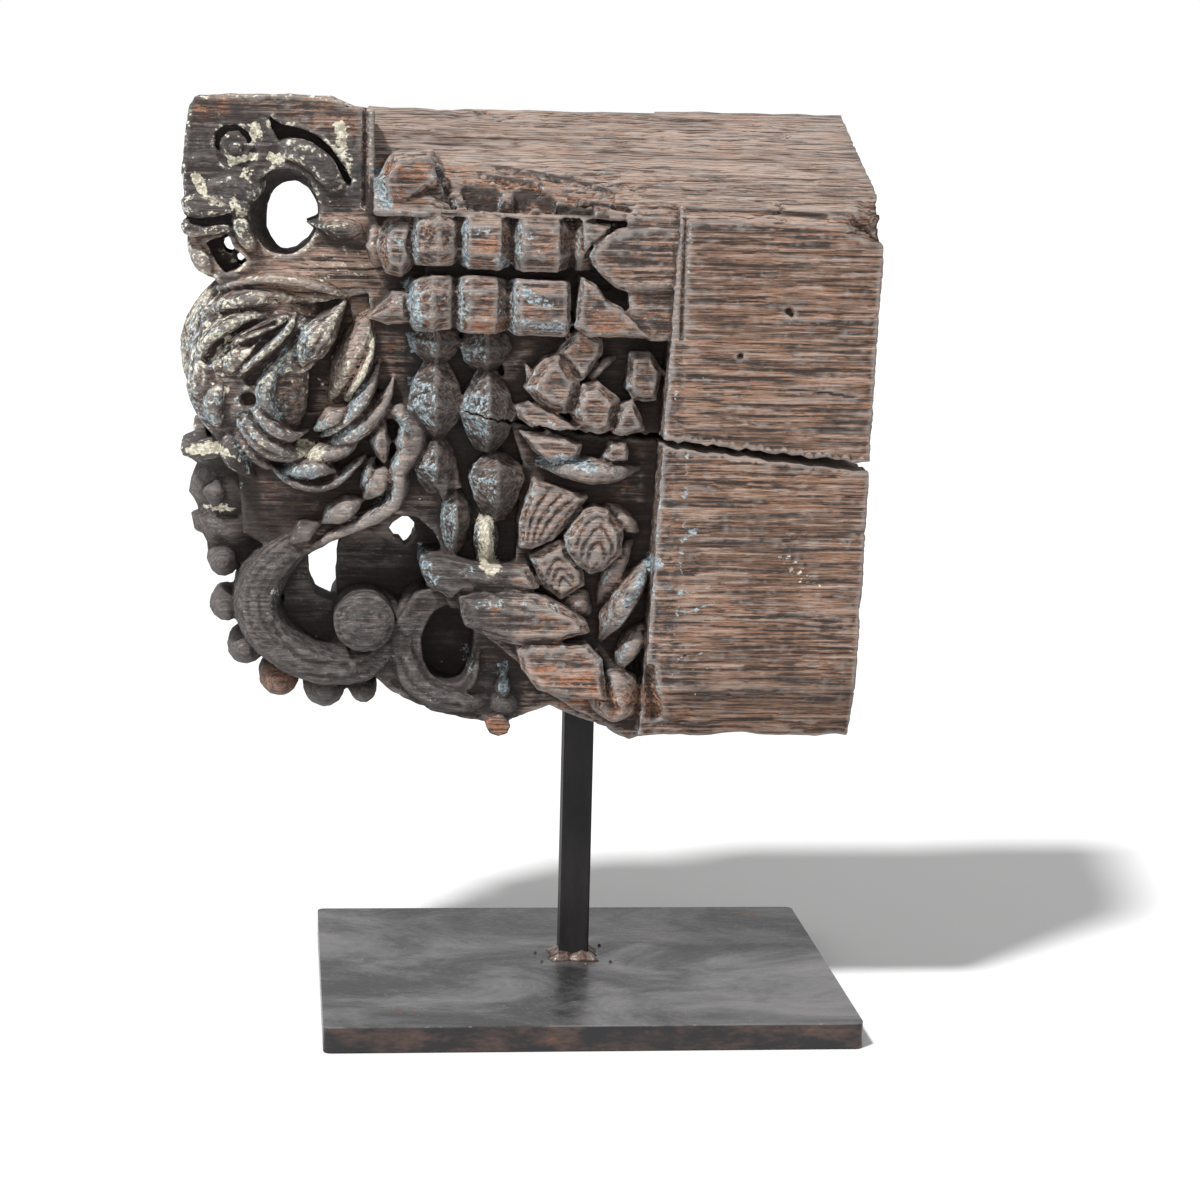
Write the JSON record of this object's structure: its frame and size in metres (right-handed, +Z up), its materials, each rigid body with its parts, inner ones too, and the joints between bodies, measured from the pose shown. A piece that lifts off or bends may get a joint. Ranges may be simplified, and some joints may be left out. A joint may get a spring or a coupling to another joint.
{
  "type": "carved corbel on display stand",
  "caption": "Weathered wooden corbel carved as a peacock over scrolls beside a squared tail, on a square steel post welded to a flat steel plate.",
  "frame": {"origin": "centre of the steel plate's underside", "axes": "+Z up, +X from the peacock's nose to the squared tail, -Y out of the carved front cheek"},
  "size_m": [0.2675, 0.17, 0.353],
  "materials": {
    "teak": "weathered and unfinished, with dark patina and traces of pale blue and cream paint",
    "plate_steel": "dark mill scale with rust at the edges",
    "post_steel": "near-black mill scale with thin rust",
    "weld_metal": "bare weld metal, browned"
  },
  "bodies": {
    "root": {"carved_corbel": "teak", "stand_plate": "plate_steel", "stand_post": "post_steel", "weld_bead": "weld_metal"}
  },
  "joints": []
}
